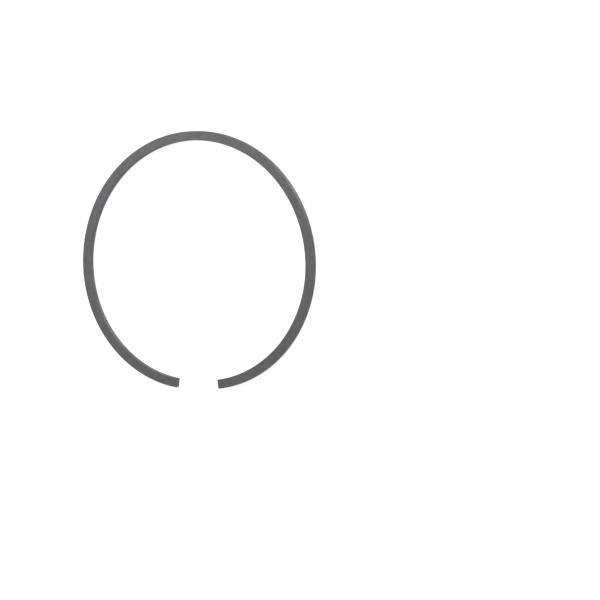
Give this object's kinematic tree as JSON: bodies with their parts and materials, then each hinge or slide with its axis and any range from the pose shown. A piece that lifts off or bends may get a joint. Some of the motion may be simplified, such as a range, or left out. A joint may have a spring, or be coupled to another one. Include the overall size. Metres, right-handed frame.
{
  "type": "piston ring",
  "caption": "Plain compression ring in its free, open state, with a crowned running face, bevelled edges and a butt-cut gap.",
  "frame": {"origin": "on the cylinder's axis, at the centre of the ring's back arc, in the plane of the lower side", "axes": "+Z along the cylinder's axis towards the upper side, +Y towards the back of the ring, so the gap faces -Y, and +X across the ring"},
  "size_m": [0.092, 0.0892, 0.002],
  "materials": {
    "ring_iron": "dark phosphate coat over ground iron, satin"
  },
  "bodies": {
    "root": {"piston_ring": "ring_iron"}
  },
  "joints": []
}
